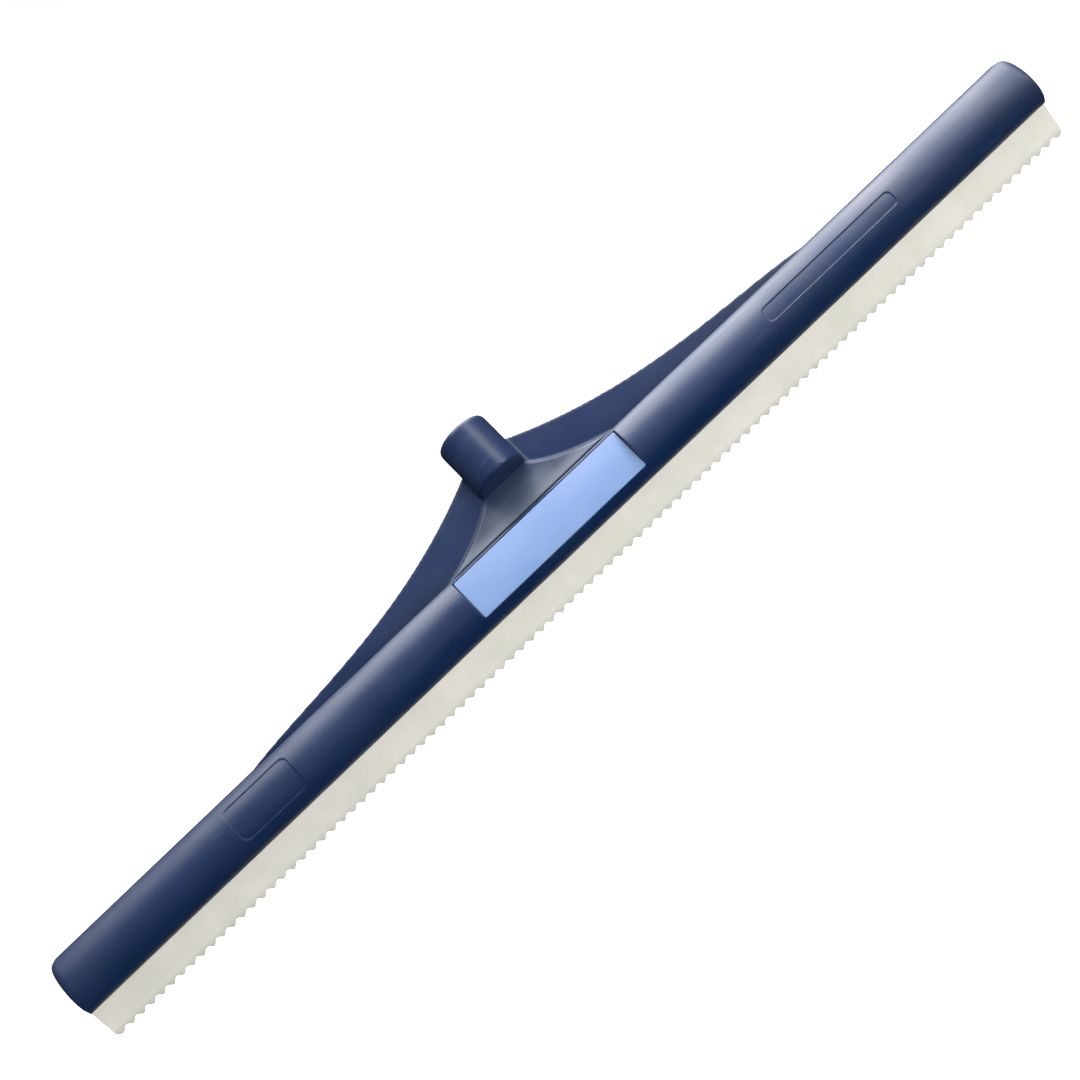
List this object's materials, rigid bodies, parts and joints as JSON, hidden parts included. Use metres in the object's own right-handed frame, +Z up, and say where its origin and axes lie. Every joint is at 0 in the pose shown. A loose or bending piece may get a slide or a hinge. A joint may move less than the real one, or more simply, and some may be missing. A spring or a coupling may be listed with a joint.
{
  "type": "notched floor squeegee head",
  "caption": "Hinged two-jaw floor squeegee head that clamps a notched rubber blade, with a leaning gusset and a threaded socket for a pole.",
  "frame": {"origin": "centre of the open mouth of the handle socket, on the socket's axis", "axes": "+X along the blade, +Y to the back, +Z up with the blade hanging straight down; the label side faces -Y, and the socket's axis points up and back at 45 degrees, along (0, 1, 1)"},
  "size_m": [0.6096, 0.0668, 0.0906],
  "materials": {
    "navy_plastic": "moulded polypropylene, semi-matt, dark navy",
    "blade_rubber": "off-white synthetic rubber, matt",
    "label_film": "pale periwinkle vinyl label, satin, blank",
    "pin_steel": "bright drawn steel wire",
    "stud_plastic": "dark moulded plastic"
  },
  "bodies": {
    "frame": {"rear_jaw": "navy_plastic", "gusset_plate": "navy_plastic", "centre_web": "navy_plastic", "handle_socket": "navy_plastic", "blade_clamped": "blade_rubber", "blade_stud_1": "stud_plastic", "blade_stud_2": "stud_plastic", "blade_stud_3": "stud_plastic", "blade_stud_4": "stud_plastic", "blade_stud_5": "stud_plastic", "blade_stud_6": "stud_plastic", "blade_stud_7": "stud_plastic", "hinge_pin_1": "pin_steel", "hinge_pin_2": "pin_steel", "hinge_pin_3": "pin_steel", "hinge_pin_4": "pin_steel", "hinge_pin_5": "pin_steel", "hinge_pin_6": "pin_steel", "hinge_pin_7": "pin_steel"},
    "cover": {"front_cover": "navy_plastic", "label_plate": "label_film"},
    "blade_edge": {"blade_edge": "blade_rubber"}
  },
  "joints": [
    {"name": "cover_hinge", "type": "hinge", "parent": "frame", "child": "cover", "pos_m": [0, -0.03962, -0.03926], "axis": [-1, 0, 0], "range_deg": [0, 58]},
    {"name": "blade_flex", "type": "hinge", "parent": "frame", "child": "blade_edge", "pos_m": [0, -0.04371, -0.06189], "axis": [1, 0, 0], "range_deg": [-25, 25], "stiffness_Nm_per_rad": 1}
  ]
}
